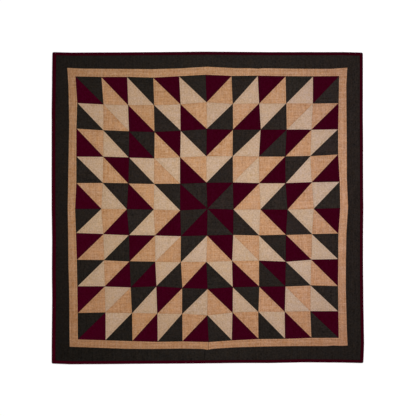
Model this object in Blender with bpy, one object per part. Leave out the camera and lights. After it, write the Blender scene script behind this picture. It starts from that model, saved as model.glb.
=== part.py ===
"""A square patchwork star quilt that lies flat, with its pieced side up.

Metres, +Z up. The origin is on the surface, under the middle of the quilt. +Y is the top of the pattern and
+X is its right-hand side. The quilt is a field of square blocks, an inner border, an outer border and a
binding, and each solid is the full thickness of the quilt where it lies.
"""

import math
from collections import namedtuple

import bmesh
import bpy

COLLECTION = "star_quilt"

# Sizes across the quilt
QUILT_HALF = 0.635
BINDING_WIDTH = 0.0128
BORDER_SEAM_HALF = 0.570
BLOCKS = 10
BLOCK_WIDTH = 0.1066
BLOCK_HEIGHT = 0.1072
FIELD_MIDDLE = (-0.0019, -0.0021)
FIELD_TURN = math.radians(0.32)
CORNER_RADIUS = 0.006
PIECE_GAP = 0.0003
SET_BACK = PIECE_GAP / 2
MITRE_SET_BACK = PIECE_GAP * math.sqrt(0.5)
SHARP_ANGLE = math.radians(40)

# Heights over the surface
SEAM_HEIGHT = 0.0034
ROLL_HEIGHT = 0.0042
STITCH_HEIGHT = 0.0028
SHOULDER_HEIGHT = 0.0045
CROWN_HEIGHT = 0.0053
BINDING_HEIGHT = 0.0050

# Distances inside a seam
ROLL_INSET = 0.0036
STITCH_INSET = 0.0072
SHOULDER_INSET = 0.0135
CROWN_INSET = 0.0225

# The binding across its width, from its seam to where it turns down at the edge, as shares of its width and
# its height.
Fold = namedtuple("Fold", "across height")
BINDING_SECTION = (
    Fold(0.00, 0.76),
    Fold(0.20, 0.95),
    Fold(0.55, 1.00),
    Fold(0.78, 0.90),
    Fold(0.91, 0.70),
    Fold(0.98, 0.45),
    Fold(1.00, 0.22),
)

# Places where the sewing has pulled the grid of seams out of square: each is a soft bump, centred on a
# column and a row of block corners, with its reach in blocks and its shift in millimetres.
Pull = namedtuple("Pull", "column row reach_across reach_down right up")
PULLS = (
    Pull(1.5, 5.0, 2.2, 0.6, -9, 0),
    Pull(8.8, 5.0, 2.2, 0.7, 9, -2),
    Pull(2.0, 9.6, 1.6, 1.8, 11, 0),
    Pull(7.2, 9.3, 2.0, 1.8, -7, 3),
    Pull(9.0, 0.8, 1.5, 1.4, 8, -2),
    Pull(3.5, 0.0, 3.5, 0.6, -6, 4),
    Pull(5.0, 0.4, 0.6, 1.5, 0, 11),
    Pull(5.0, 9.4, 0.7, 1.8, 0, -10),
    Pull(3.0, 2.8, 1.3, 1.8, 0, -8),
    Pull(7.6, 4.2, 1.4, 1.8, 0, -6),
    Pull(4.2, 5.2, 0.9, 1.3, -1, -7),
    Pull(0.2, 7.3, 1.2, 1.3, 0, 7),
    Pull(0.0, 0.8, 0.7, 1.2, 1, 6),
    Pull(9.8, 8.0, 1.0, 1.8, 0, 6),
    Pull(5.8, 7.4, 1.0, 1.2, -6, 0),
    Pull(1.4, 2.4, 1.0, 1.0, 5, 0),
    Pull(0.0, 6.0, 1.0, 0.7, -3, 7),
    Pull(7.4, 2.0, 0.6, 0.5, 10, 1),
    Pull(3.0, 10.0, 1.5, 0.5, 0, -7),
    Pull(1.0, 9.0, 1.5, 1.0, 0, 5),
    Pull(10.0, 4.0, 0.5, 1.0, 7, 0),
    Pull(4.0, 3.5, 2.5, 1.0, -4, 0),
    Pull(9.0, 8.5, 0.5, 1.5, -5, 1),
    Pull(5.0, 8.0, 2.5, 0.5, 4, -1),
    Pull(0.0, 2.0, 0.7, 0.7, 0, 6),
    Pull(9.0, 2.6, 0.5, 0.7, -6, -1),
    Pull(10.0, 0.0, 2.5, 0.5, 4, 2),
    Pull(7.0, 0.0, 1.0, 0.5, -3, 3),
    Pull(6.0, 10.0, 0.7, 0.5, -5, -3),
    Pull(7.5, 9.0, 2.5, 0.5, 0, 3),
    Pull(2.5, 1.2, 1.0, 0.8, -2, -4),
    Pull(5.3, 1.0, 1.2, 0.5, 0, -4),
    Pull(4.0, 7.2, 1.5, 0.9, -3, -3),
    Pull(1.0, 6.5, 0.5, 2.5, 3, 1),
)

# How far each side of a line round the quilt strays outwards, in millimetres. The places go along the
# side, from the left to the right or from the top to the bottom, at the shares in STRAY_SHARES.
STRAY_SHARES = (-1.0, -0.88, -0.6, -0.4, -0.2, 0.0, 0.2, 0.4, 0.6, 0.88, 1.0)
Strays = namedtuple("Strays", "top right bottom left")
OUTLINE_STRAYS = Strays(
    top=(1, -1, 0, 1, 2, 3, 2, 1, 1, 1, -1),
    right=(-2, -2, -2, -1, -1, 0, -1, -1, 0, 3, 0),
    bottom=(0, 3, 2, 1, 0, -1, -2, -2, -5, -4, -2),
    left=(-1, 0, 2, 2, 2, 2, 0, 1, 0, 2, 2),
)
BORDER_SEAM_STRAYS = Strays(
    top=(2, -1, -2, -3, 0, 7, 1, 1, -1, -2, 3),
    right=(0, -4, -3, -2, -2, 3, -4, -6, -6, -2, 1),
    bottom=(-3, -1, 5, 6, 4, 6, -1, -4, -6, -6, -8),
    left=(4, -1, -4, -2, 0, 2, 0, -1, -4, -5, -6),
)
MILLIMETRE = 0.001

# The four sides: the way out, the way along, and the neighbours that each side starts and ends at, with
# the end of the neighbour (0 its first, -1 its last) that meets it.
Side = namedtuple("Side", "out along start start_end finish finish_end")
SIDES = {
    "top": Side((0, 1), (1, 0), "left", 0, "right", 0),
    "right": Side((1, 0), (0, -1), "top", -1, "bottom", -1),
    "bottom": Side((0, -1), (1, 0), "left", -1, "right", -1),
    "left": Side((-1, 0), (0, -1), "top", 0, "bottom", 0),
}

# Shares along a side where a strip has a section: each block corner, each place of the strays, and two
# close to each mitre.
MITRE_SHARES = (0.97, 0.992)

# Finishes, as linear colours
Cotton = namedtuple("Cotton", "colour roughness")
COTTONS = {
    "charcoal": Cotton((0.015, 0.012, 0.010), 0.9),
    "burgundy": Cotton((0.038, 0.001, 0.006), 0.9),
    "peach": Cotton((0.460, 0.240, 0.130), 0.9),
    "tan": Cotton((0.520, 0.350, 0.220), 0.9),
}
FIELD_COTTONS = ("charcoal", "burgundy", "peach", "tan")


def clear_scene():
    for obj in list(bpy.data.objects):
        bpy.data.objects.remove(obj)


def make_material(name):
    material = bpy.data.materials.new(name)
    material.use_nodes = True
    shader = material.node_tree.nodes["Principled BSDF"]
    cotton = COTTONS[name]
    shader.inputs["Base Color"].default_value = (*cotton.colour, 1.0)
    shader.inputs["Roughness"].default_value = cotton.roughness
    shader.inputs["Metallic"].default_value = 0.0
    return material


def blend(first, second, share):
    return first + (second - first) * share


def bump(column, row, pull):
    across = (column - pull.column) / pull.reach_across
    down = (row - pull.row) / pull.reach_down
    return math.exp(-across * across - down * down)


def block_corner(column, row):
    """Where the seams cross, column by column from the left and row by row from the top."""
    x = (column - BLOCKS / 2) * BLOCK_WIDTH
    y = (BLOCKS / 2 - row) * BLOCK_HEIGHT
    turned_x = x * math.cos(FIELD_TURN) - y * math.sin(FIELD_TURN) + FIELD_MIDDLE[0]
    turned_y = x * math.sin(FIELD_TURN) + y * math.cos(FIELD_TURN) + FIELD_MIDDLE[1]
    for pull in PULLS:
        share = bump(column, row, pull)
        turned_x += share * pull.right * MILLIMETRE
        turned_y += share * pull.up * MILLIMETRE
    return turned_x, turned_y


def patch_colours(row, column):
    """The cottons on the clockwise and the other side of a block's seam, in the top left quarter."""
    if row == column:
        return ("charcoal", "burgundy") if row % 2 == 0 else ("tan", "peach")
    far = max(row, column)
    dark_first = (min(row, column) % 2 == 0) == (row < column)
    if dark_first:
        return ("burgundy", "peach") if far % 2 else ("charcoal", "tan")
    return ("tan", "charcoal") if far % 2 else ("peach", "burgundy")


def quarter_place(row, column):
    """Which quarter turn of the top left quarter a block belongs to, and its row and column there."""
    half = BLOCKS // 2
    last = BLOCKS - 1
    if row < half and column < half:
        return 0, row, column
    if row < half:
        return 1, last - column, row
    if column >= half:
        return 2, last - row, last - column
    return 3, column, last - row


def stray(places, share):
    """How far out a line strays at this share of its side, in metres."""
    for index in range(len(STRAY_SHARES) - 1):
        start, end = STRAY_SHARES[index], STRAY_SHARES[index + 1]
        if share <= end:
            part = (share - start) / (end - start)
            return blend(places[index], places[index + 1], part) * MILLIMETRE
    return places[-1] * MILLIMETRE


def on_side(side, along, out):
    """The point this far along the side from its middle, and this far out from the quilt's middle."""
    way = SIDES[side]
    x = way.along[0] * along + way.out[0] * out
    y = way.along[1] * along + way.out[1] * out
    return x, y


def ring_point(half, strays, side, share, corner_radius=0.0):
    """A point of a line round the quilt, at a share of one side from -1 to 1."""
    way = SIDES[side]
    start = -half - getattr(strays, way.start)[way.start_end] * MILLIMETRE
    finish = half + getattr(strays, way.finish)[way.finish_end] * MILLIMETRE
    out = half + stray(getattr(strays, side), share)
    along = blend(start, finish, (share + 1) / 2)
    if corner_radius:
        mitre_cut = corner_radius * (1 - math.sqrt(0.5))
        along = min(max(along, start + mitre_cut), finish - mitre_cut)
        to_corner = min(along - start, finish - along)
        inside = max(corner_radius - to_corner, 0.0)
        out -= corner_radius - math.sqrt(corner_radius**2 - inside**2)
    return on_side(side, along, out)


def edge_corner(side, step):
    """The column and row of a block corner on the field's edge, counted along that side."""
    if side in ("top", "bottom"):
        return step, (0 if side == "top" else BLOCKS)
    return (0 if side == "left" else BLOCKS), step


def field_edge(side, share):
    """A point of the seam round the field of blocks, straight from one block corner to the next."""
    place = (share + 1) / 2 * BLOCKS
    first = min(int(place), BLOCKS - 1)
    part = place - first
    start, end = (block_corner(*edge_corner(side, step)) for step in (first, first + 1))
    return blend(start[0], end[0], part), blend(start[1], end[1], part)


def border_seam(side, share):
    return ring_point(BORDER_SEAM_HALF, BORDER_SEAM_STRAYS, side, share)


def binding_seam(side, share):
    return ring_point(QUILT_HALF - BINDING_WIDTH, OUTLINE_STRAYS, side, share)


def outline(side, share):
    return ring_point(QUILT_HALF, OUTLINE_STRAYS, side, share, CORNER_RADIUS)


def strip_shares():
    block_corners = [2 * step / BLOCKS - 1 for step in range(BLOCKS + 1)]
    mitres = [sign * share for sign in (-1, 1) for share in MITRE_SHARES]
    return sorted({round(share, 4) for share in (*block_corners, *STRAY_SHARES, *mitres)})


def finish_slab(mesh_builder):
    """Closes an open relief: its rim goes straight down to the surface, and a flat underside fills it."""
    rim = [edge for edge in mesh_builder.edges if edge.is_boundary]
    made = bmesh.ops.extrude_edge_only(mesh_builder, edges=rim)["geom"]
    for vertex in made:
        if isinstance(vertex, bmesh.types.BMVert):
            vertex.co.z = 0.0
    foot = [edge for edge in mesh_builder.edges if edge.is_boundary]
    bmesh.ops.holes_fill(mesh_builder, edges=foot, sides=0)
    bmesh.ops.recalc_face_normals(mesh_builder, faces=mesh_builder.faces)


def add_object(name, mesh_builder, cottons, collection, parent):
    mesh = bpy.data.meshes.new(name)
    mesh_builder.to_mesh(mesh)
    mesh_builder.free()
    for cotton in cottons:
        mesh.materials.append(bpy.data.materials[cotton])
    mesh.shade_smooth()
    mesh.set_sharp_from_angle(angle=SHARP_ANGLE)
    obj = bpy.data.objects.new(name, mesh)
    obj.parent = parent
    collection.objects.link(obj)


def field_vertices(mesh_builder):
    """The block corners, set back from the border by half a gap along the field's own edge."""
    corners = {}
    for row in range(BLOCKS + 1):
        for column in range(BLOCKS + 1):
            x, y = block_corner(column, row)
            x += SET_BACK * ((column == 0) - (column == BLOCKS))
            y += SET_BACK * ((row == BLOCKS) - (row == 0))
            corners[column, row] = mesh_builder.verts.new((x, y, SEAM_HEIGHT))
    return corners


def block_patches(mesh_builder, corners, row, column):
    """The two triangles of a block. Their seam points at the middle of the quilt."""
    top_left = corners[column, row]
    top_right = corners[column + 1, row]
    bottom_right = corners[column + 1, row + 1]
    bottom_left = corners[column, row + 1]
    ring = [top_left, top_right, bottom_right, bottom_left]
    turn, own_row, own_column = quarter_place(row, column)
    start = ring[turn:] + ring[:turn]
    first, second = patch_colours(own_row, own_column)
    for cotton, triangle in ((first, start[:3]), (second, [start[0], *start[2:]])):
        patch = mesh_builder.faces.new(triangle[::-1])
        patch.material_index = FIELD_COTTONS.index(cotton)


def make_field(collection, parent):
    """The pieced centre: each patch is inset ring by ring, from its seams over the quilting to its crown."""
    mesh_builder = bmesh.new()
    corners = field_vertices(mesh_builder)
    for row in range(BLOCKS):
        for column in range(BLOCKS):
            block_patches(mesh_builder, corners, row, column)
    mesh_builder.normal_update()
    patches = list(mesh_builder.faces)
    inset = 0.0
    rings = (
        (ROLL_INSET, ROLL_HEIGHT),
        (STITCH_INSET, STITCH_HEIGHT),
        (SHOULDER_INSET, SHOULDER_HEIGHT),
        (CROWN_INSET, CROWN_HEIGHT),
    )
    for ring_inset, height in rings:
        step = ring_inset - inset
        bmesh.ops.inset_individual(mesh_builder, faces=patches, thickness=step, use_even_offset=True)
        inset = ring_inset
        for patch in patches:
            for vertex in patch.verts:
                vertex.co.z = height
    finish_slab(mesh_builder)
    add_object("pieced_centre", mesh_builder, FIELD_COTTONS, collection, parent)


def inner_border_section(width):
    """Distances from the field's seam, with heights: a line of quilting inside each of the two seams."""
    return (
        (0.0, SEAM_HEIGHT),
        (ROLL_INSET, ROLL_HEIGHT),
        (STITCH_INSET, STITCH_HEIGHT),
        (width / 2, SHOULDER_HEIGHT),
        (width - STITCH_INSET, STITCH_HEIGHT),
        (width - ROLL_INSET, ROLL_HEIGHT),
        (width, SEAM_HEIGHT),
    )


def outer_border_section(width):
    """Distances from the seam between the borders: one line of quilting, then puffed to the binding."""
    return (
        (0.0, SEAM_HEIGHT),
        (ROLL_INSET, ROLL_HEIGHT),
        (STITCH_INSET, STITCH_HEIGHT),
        (SHOULDER_INSET, SHOULDER_HEIGHT),
        (CROWN_INSET, CROWN_HEIGHT),
        (width - SHOULDER_INSET, CROWN_HEIGHT),
        (width - ROLL_INSET, SHOULDER_HEIGHT),
        (width, SEAM_HEIGHT),
    )


def binding_section(width):
    """Distances from the binding's seam: a plump strip that turns down over the quilt's edge."""
    return tuple((fold.across * width, fold.height * BINDING_HEIGHT) for fold in BINDING_SECTION)


def set_back(point, side, out, along):
    """Moves a point of a strip off the seam or the mitre that it shares with its neighbour."""
    way = SIDES[side]
    x = point[0] + way.out[0] * out + way.along[0] * along
    y = point[1] + way.out[1] * out + way.along[1] * along
    return x, y


def strip_sections(side, inner_line, outer_line, section):
    """The points of a strip, section by section along its side, from its inner to its outer line."""
    way = SIDES[side]
    shares = strip_shares()
    sections = []
    for share in shares:
        along = MITRE_SET_BACK * ((share == shares[0]) - (share == shares[-1]))
        inner = set_back(inner_line(side, share), side, SET_BACK, along)
        outer = set_back(outer_line(side, share), side, -SET_BACK, along)
        width = (outer[0] - inner[0]) * way.out[0] + (outer[1] - inner[1]) * way.out[1]
        points = []
        for distance, height in section(width):
            part = distance / width
            points.append((blend(inner[0], outer[0], part), blend(inner[1], outer[1], part), height))
        sections.append(points)
    return sections


def make_strip(name, side, inner_line, outer_line, section, cotton, collection, parent):
    """A strip between two lines round the quilt, on one side, mitred at both ends: a flat grid is laid out
    in the order of the strip's sections, and each of its points then takes its place in the relief."""
    sections = strip_sections(side, inner_line, outer_line, section)
    along = len(sections) - 1
    across = len(sections[0]) - 1
    mesh_builder = bmesh.new()
    grid = bmesh.ops.create_grid(mesh_builder, x_segments=along, y_segments=across, size=1.0)["verts"]
    for vertex in grid:
        index = round((vertex.co.x + 1) / 2 * along)
        step = round((vertex.co.y + 1) / 2 * across)
        vertex.co = sections[index][step]
    finish_slab(mesh_builder)
    add_object(name, mesh_builder, (cotton,), collection, parent)


def main():
    clear_scene()
    collection = bpy.data.collections.new(COLLECTION)
    bpy.context.scene.collection.children.link(collection)
    quilt = bpy.data.objects.new("quilt", None)
    collection.objects.link(quilt)
    for name in COTTONS:
        make_material(name)
    make_field(collection, quilt)
    strips = (
        ("inner_border", field_edge, border_seam, inner_border_section, "peach"),
        ("outer_border", border_seam, binding_seam, outer_border_section, "charcoal"),
        ("binding", binding_seam, outline, binding_section, "burgundy"),
    )
    for kind, inner_line, outer_line, section, cotton in strips:
        for side in SIDES:
            make_strip(f"{kind}_{side}", side, inner_line, outer_line, section, cotton, collection, quilt)


main()
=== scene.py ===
"""Looks for the star quilt: pieced cottons, two borders, a binding, quilting thread and a plain backing.

Metres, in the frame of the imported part: +Z up, +Y the top of the pattern, +X its right-hand side, and the
origin on the floor under the middle of the quilt.
"""

import math
from collections import defaultdict, namedtuple

import bpy
import numpy as np
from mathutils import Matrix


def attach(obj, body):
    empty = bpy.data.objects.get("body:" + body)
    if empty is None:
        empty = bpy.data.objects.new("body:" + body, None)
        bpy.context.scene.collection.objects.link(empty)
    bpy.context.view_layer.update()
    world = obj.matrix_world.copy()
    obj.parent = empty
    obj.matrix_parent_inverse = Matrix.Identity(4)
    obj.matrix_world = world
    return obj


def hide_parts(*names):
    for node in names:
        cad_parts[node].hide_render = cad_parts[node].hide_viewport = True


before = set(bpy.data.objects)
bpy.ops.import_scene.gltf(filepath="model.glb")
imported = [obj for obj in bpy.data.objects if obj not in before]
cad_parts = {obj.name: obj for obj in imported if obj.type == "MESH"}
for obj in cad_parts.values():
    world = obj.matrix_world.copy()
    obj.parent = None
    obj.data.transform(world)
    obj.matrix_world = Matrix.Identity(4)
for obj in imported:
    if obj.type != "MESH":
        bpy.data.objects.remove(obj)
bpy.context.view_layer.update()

MILLIMETRE = 0.001

# Sizes across the quilt, as in the part's source
QUILT_HALF = 0.635
BINDING_WIDTH = 0.0128
BORDER_SEAM_HALF = 0.570
BLOCKS = 10
BLOCK_WIDTH = 0.1066
BLOCK_HEIGHT = 0.1072
FIELD_MIDDLE = (-0.0019, -0.0021)
FIELD_TURN = math.radians(0.32)
CORNER_RADIUS = 0.006

# Places where the sewing has pulled the grid of seams out of square: each is a soft bump, centred on a
# column and a row of block corners, with its reach in blocks and its shift in millimetres.
Pull = namedtuple("Pull", "column row reach_across reach_down right up")
PULLS = (
    Pull(1.5, 5.0, 2.2, 0.6, -9, 0),
    Pull(8.8, 5.0, 2.2, 0.7, 9, -2),
    Pull(2.0, 9.6, 1.6, 1.8, 11, 0),
    Pull(7.2, 9.3, 2.0, 1.8, -7, 3),
    Pull(9.0, 0.8, 1.5, 1.4, 8, -2),
    Pull(3.5, 0.0, 3.5, 0.6, -6, 4),
    Pull(5.0, 0.4, 0.6, 1.5, 0, 11),
    Pull(5.0, 9.4, 0.7, 1.8, 0, -10),
    Pull(3.0, 2.8, 1.3, 1.8, 0, -8),
    Pull(7.6, 4.2, 1.4, 1.8, 0, -6),
    Pull(4.2, 5.2, 0.9, 1.3, -1, -7),
    Pull(0.2, 7.3, 1.2, 1.3, 0, 7),
    Pull(0.0, 0.8, 0.7, 1.2, 1, 6),
    Pull(9.8, 8.0, 1.0, 1.8, 0, 6),
    Pull(5.8, 7.4, 1.0, 1.2, -6, 0),
    Pull(1.4, 2.4, 1.0, 1.0, 5, 0),
    Pull(0.0, 6.0, 1.0, 0.7, -3, 7),
    Pull(7.4, 2.0, 0.6, 0.5, 10, 1),
    Pull(3.0, 10.0, 1.5, 0.5, 0, -7),
    Pull(1.0, 9.0, 1.5, 1.0, 0, 5),
    Pull(10.0, 4.0, 0.5, 1.0, 7, 0),
    Pull(4.0, 3.5, 2.5, 1.0, -4, 0),
    Pull(9.0, 8.5, 0.5, 1.5, -5, 1),
    Pull(5.0, 8.0, 2.5, 0.5, 4, -1),
    Pull(0.0, 2.0, 0.7, 0.7, 0, 6),
    Pull(9.0, 2.6, 0.5, 0.7, -6, -1),
    Pull(10.0, 0.0, 2.5, 0.5, 4, 2),
    Pull(7.0, 0.0, 1.0, 0.5, -3, 3),
    Pull(6.0, 10.0, 0.7, 0.5, -5, -3),
    Pull(7.5, 9.0, 2.5, 0.5, 0, 3),
    Pull(2.5, 1.2, 1.0, 0.8, -2, -4),
    Pull(5.3, 1.0, 1.2, 0.5, 0, -4),
    Pull(4.0, 7.2, 1.5, 0.9, -3, -3),
    Pull(1.0, 6.5, 0.5, 2.5, 3, 1),
)

# Single block corners, or two side by side, that stray a little more in the looks than in the solids
CORNER_PULLS = (
    Pull(0.5, 1.0, 0.8, 0.4, 6, -2),
    Pull(3.0, 0.0, 0.4, 0.4, 1, -4),
    Pull(5.0, 0.0, 0.4, 0.4, 1, -4),
    Pull(10.0, 3.0, 0.4, 0.4, -1, 4),
    Pull(5.0, 5.0, 0.4, 0.4, 2, 3),
    Pull(6.0, 5.0, 0.4, 0.4, -1, -3),
    Pull(7.0, 6.0, 0.4, 0.4, -3, -2),
    Pull(8.0, 7.0, 0.4, 0.4, 1, -5),
    Pull(3.0, 8.0, 0.4, 0.4, -1, 6),
    Pull(10.0, 8.0, 0.4, 0.4, -1, -5),
    Pull(0.0, 10.0, 0.4, 0.4, 0, 4),
    Pull(5.0, 10.0, 0.4, 0.4, 5, 1),
    Pull(9.5, 10.0, 0.8, 0.4, 1, 5),
)

# How far each side of a line round the quilt strays outwards, in millimetres, at the shares of the side in
# STRAY_SHARES, from the left to the right or from the top to the bottom.
STRAY_SHARES = (-1.0, -0.88, -0.6, -0.4, -0.2, 0.0, 0.2, 0.4, 0.6, 0.88, 1.0)
Strays = namedtuple("Strays", "top right bottom left")
OUTLINE_STRAYS = Strays(
    top=(1, -1, 0, 1, 2, 3, 2, 1, 1, 1, -1),
    right=(-2, -2, -2, -1, -1, 0, -1, -1, 0, 3, 0),
    bottom=(0, 3, 2, 1, 0, -1, -2, -2, -5, -4, -2),
    left=(-1, 0, 2, 2, 2, 2, 0, 1, 0, 2, 2),
)
BORDER_SEAM_STRAYS = Strays(
    top=(2, -1, -2, -3, 0, 7, 1, 1, -1, -2, 3),
    right=(0, -4, -3, -2, -2, 3, -4, -6, -6, -2, 1),
    bottom=(-3, -1, 5, 6, 4, 6, -1, -4, -6, -6, -8),
    left=(4, -1, -4, -2, 0, 2, 0, -1, -4, -5, -6),
)

# How much further out than their driving sizes put them the binding's seam, the outline and the edge of the
# field run, in millimetres
BINDING_SHIFTS = Strays(top=1.0, right=0.8, bottom=1.0, left=-1.6)
OUTLINE_SPREAD = 0.7
FIELD_SPREAD = 0.9
BINDING_SEAM_STRAYS = Strays(
    *(tuple(place + shift for place in places) for places, shift in zip(OUTLINE_STRAYS, BINDING_SHIFTS))
)

# Short bumps of the seam between the borders, in the looks alone: where and how far along the side, as shares
# of it, and how far out in millimetres
Bump = namedtuple("Bump", "side share reach out")
BORDER_BUMPS = (
    Bump("bottom", -0.008, 0.022, 3.0),
    Bump("bottom", 0.895, 0.035, -2.0),
    Bump("top", 0.360, 0.035, -2.0),
)

# The four sides: the way out, the way along, and the neighbours that each side starts and ends at, with
# the end of the neighbour (0 its first, -1 its last) that meets it.
Side = namedtuple("Side", "out along start start_end finish finish_end")
SIDES = {
    "top": Side((0, 1), (1, 0), "left", 0, "right", 0),
    "right": Side((1, 0), (0, -1), "top", -1, "bottom", -1),
    "bottom": Side((0, -1), (1, 0), "left", -1, "right", -1),
    "left": Side((-1, 0), (0, -1), "top", 0, "bottom", 0),
}

# The relief of the cloth, inwards from a seam, in millimetres: the ditch of the seam, the roll over its
# allowances and the puff inside it. Crinkle is how far the cloth's small creases show, and loft how far a
# patch's own puff does. The last row is the crown in the middle of a patch.
Relief = namedtuple("Relief", "inset height crinkle loft")
RELIEF = (
    Relief(0.0, 3.15, 0.3, 0.0),
    Relief(0.4, 3.60, 0.4, 0.0),
    Relief(1.0, 3.95, 0.5, 0.0),
    Relief(2.2, 4.22, 0.7, 0.0),
    Relief(3.6, 4.38, 0.9, 0.0),
    Relief(5.0, 4.48, 1.0, 0.0),
    Relief(6.2, 4.55, 1.0, 0.0),
    Relief(7.2, 4.60, 1.0, 0.0),
    Relief(8.2, 4.65, 1.0, 0.0),
    Relief(10.2, 4.73, 1.0, 0.2),
    Relief(13.5, 4.86, 1.0, 0.5),
    Relief(18.0, 5.05, 1.0, 0.8),
    Relief(23.5, 5.28, 1.0, 1.0),
    Relief(31.0, 5.40, 1.0, 1.0),
)
RINGS = RELIEF[:-1]

# How far one patch's own puff may be above or below that, in millimetres
LOFT_RANGE = 0.35

# The cloth's small creases, in millimetres, and the soft ripples in which it rises off the floor in its
# borders: each wave has the size of its bumps in metres and the seed of its noise
Wave = namedtuple("Wave", "height cell seed")
CREASES = (Wave(0.16, 0.007, 11), Wave(0.22, 0.017, 12), Wave(0.12, 0.045, 13))
RIPPLES = (Wave(0.5, 0.115, 21), Wave(0.25, 0.05, 22))
RIPPLE_LEVEL = 0.5
RIPPLE_LIMIT = 1.3
RIPPLE_HEIGHT = 0.0022
RIPPLES_FROM = 0.50
RIPPLES_FULL = 0.625

# The heights, in millimetres, from which up a strip's mitres and its small creases show in full
MITRES_FULL = 3.0
CREASES_FULL = 4.0

# The quilting, in millimetres: a line of stitches inside each seam between a light and a dark cotton draws
# the cloth down in a groove, steeper towards the seam, and fades out before the next line's seam
LIGHT_COTTONS = ("peach", "tan")
STITCH_INSET = 7.2
STITCH_HEIGHT = 3.2
STITCH_CREASES = 0.5
GROOVE_REACH_OUT = 1.5
GROOVE_REACH_IN = 2.8
LINE_FADE = 2.5
FAR = 99.0

# The other seams, in millimetres, lie in a wider ditch, where the light cottons also get painted shade
# in their colour. The cloth dips a little over the edge of the seam's allowances, where it is quilted
# elsewhere, and a line of quilting that comes this way ends just before it.
DITCH_DEPTH = 0.45
DITCH_REACH = 7.0
DITCH_FADE = 5.0
ALLOWANCE_DIP = 0.22
LINE_STOP = 1.5

# Where a light cotton meets a dark one it turns down into the seam, and a shadow is painted into its colour
# there, with this share of its brightness lost and over this many millimetres
SEAM_SHADOW = 0.9
SEAM_SHADOW_REACH = 0.75

# Sections of the strips, in millimetres: heights at distances from a strip's inner or outer line. The borders
# follow the relief of the patches up to the insets given here.
Station = namedtuple("Station", "line distance height")
INNER_BORDER_MIDDLE = Station("middle", 0.0, 4.70)
INNER_BORDER_INSETS = 10.2
OUTER_BORDER_MIDDLE = Station("middle", 0.0, 5.40)
OUTER_BORDER_INSETS = 18.0
OUTER_BORDER_RIM = (
    Station("outer", 18.0, 5.35),
    Station("outer", 13.5, 5.25),
    Station("outer", 9.0, 5.05),
    Station("outer", 6.0, 4.80),
    Station("outer", 3.6, 4.50),
    Station("outer", 2.0, 4.10),
    Station("outer", 1.0, 3.70),
    Station("outer", 0.4, 3.30),
    Station("outer", 0.0, 3.00),
)
BINDING_SECTION = (
    Station("inner", 0.0, 3.00),
    Station("inner", 0.5, 3.60),
    Station("inner", 1.3, 4.25),
    Station("inner", 2.6, 4.75),
    Station("inner", 4.6, 5.00),
    Station("outer", 5.8, 5.00),
    Station("outer", 3.3, 4.60),
    Station("outer", 1.6, 3.90),
    Station("outer", 0.5, 2.90),
    Station("outer", 0.0, 1.80),
    Station("outer", 0.3, 0.75),
    Station("outer", 1.2, 0.20),
    Station("outer", 3.0, 0.05),
    Station("outer", 10.5, 0.05),
)

# Steps along a patch's seams, how much closer together they are towards its corners, the extra sections of a
# strip close to its mitres, and a mitre's depth and reach in millimetres
LEG_STEPS = 34
DIAGONAL_STEPS = 46
CROWDING = 0.45
MITRE_SHARES = (0.9945, 0.9970, 0.9984, 0.9994)
MITRE_DEPTH = 0.25
MITRE_REACH = 1.0

# The lower strips of the borders are each sewn together from two lengths, at this share of the side. The
# join's depth and reach, and the places of the mesh across it, are in millimetres. A shadow is painted into
# the cloth's colour along the join, darker by a share of its brightness, and the second length is cut half a
# step further on.
JOINS = {"inner_border_bottom": -0.001, "outer_border_bottom": -0.025}
NO_JOIN = 9.0
JOIN_DEPTH = 2.0
JOIN_REACH = 1.4
JOIN_SHADOW = 0.32
JOIN_SHADOW_REACH = 1.9
JOIN_STEPS = (-4.0, -2.6, -1.8, -1.2, -0.8, -0.4, 0.0, 0.4, 0.8, 1.2, 1.8, 2.6, 4.0)
JOIN_CLOTH_STEP = 0.5

# The stitches, in metres and radians: low beads of thread whose ends dip into the cloth. A row of points has
# a place along its stitch, a height in millimetres and a width.
STITCH_PITCH = 0.0075
STITCH_LENGTH = 0.0040
STITCH_LENGTH_SHARES = (0.85, 1.15)
STITCH_TURN = 0.05
STITCH_STRAY = 0.00018
STITCH_WIDTH = 0.00035
STITCH_RISE = 0.00022
Bead = namedtuple("Bead", "along height width")
STITCH_BEADS = (
    Bead(-0.50, -0.30, 0.75),
    Bead(-0.17, 0.26, 1.0),
    Bead(0.17, 0.26, 1.0),
    Bead(0.50, -0.30, 0.75),
)
BEAD_SECTION = ((-0.5, 0.0), (-0.25, 1.0), (0.25, 1.0), (0.5, 0.0))

BACKING_HALF = 0.629
BACKING_STEPS = 64
BACKING_HEIGHT = 0.00015

# The picture: 416 pixels across 1.6988 m, straight from above, at the height of the cloth
PICTURE_WIDTH = 1.6988
PICTURE_MIDDLE = (0.0010, -0.0001)
PICTURE_HEIGHT = 0.004
LENS = 85.0
SENSOR = 36.0
CLIP_END = 100.0

# The floor, the room and the soft box over the quilt
FLOOR_REACH = 30.0
FLOOR_HEIGHT = -0.0001
FLOOR_GREYS = (0.885, 0.905)
FLOOR_CLOUD = (0.5, 0.5)
FLOOR_GLOW = 0.47
ROOM_HORIZON = 1.0
ROOM_OVERHEAD = 0.49
DIM_FROM = 0.30
SOFT_BOX_PLACE = (0.140, 0.080, 1.14)
SOFT_BOX_SIZE = 0.45
SOFT_BOX_POWER = 7.2

# How far apart, in the noise of the weave, two pieces of cloth are cut
CLOTH_STEP = 0.37

# How bright the cloth of each ring of strips is at its corners and the middles of its sides, against the
# patches of the same cotton
Shades = namedtuple("Shades", "top_left top top_right right bottom_right bottom bottom_left left")
RING_SHADES = {
    "inner_border": Shades(0.88, 0.98, 0.98, 1.06, 0.94, 0.94, 0.87, 0.93),
    "outer_border": Shades(0.87, 1.05, 0.89, 0.70, 0.80, 1.14, 0.80, 0.77),
    "binding": Shades(1.05, 0.93, 0.92, 1.00, 1.04, 1.08, 1.30, 1.06),
}

# The strips whose streaks run lengthwise. In all the others they run across the strip.
LENGTHWISE = ("outer_border_right",)

random = np.random.default_rng(7)


def blend(first, second, share):
    return first + (second - first) * share


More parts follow.
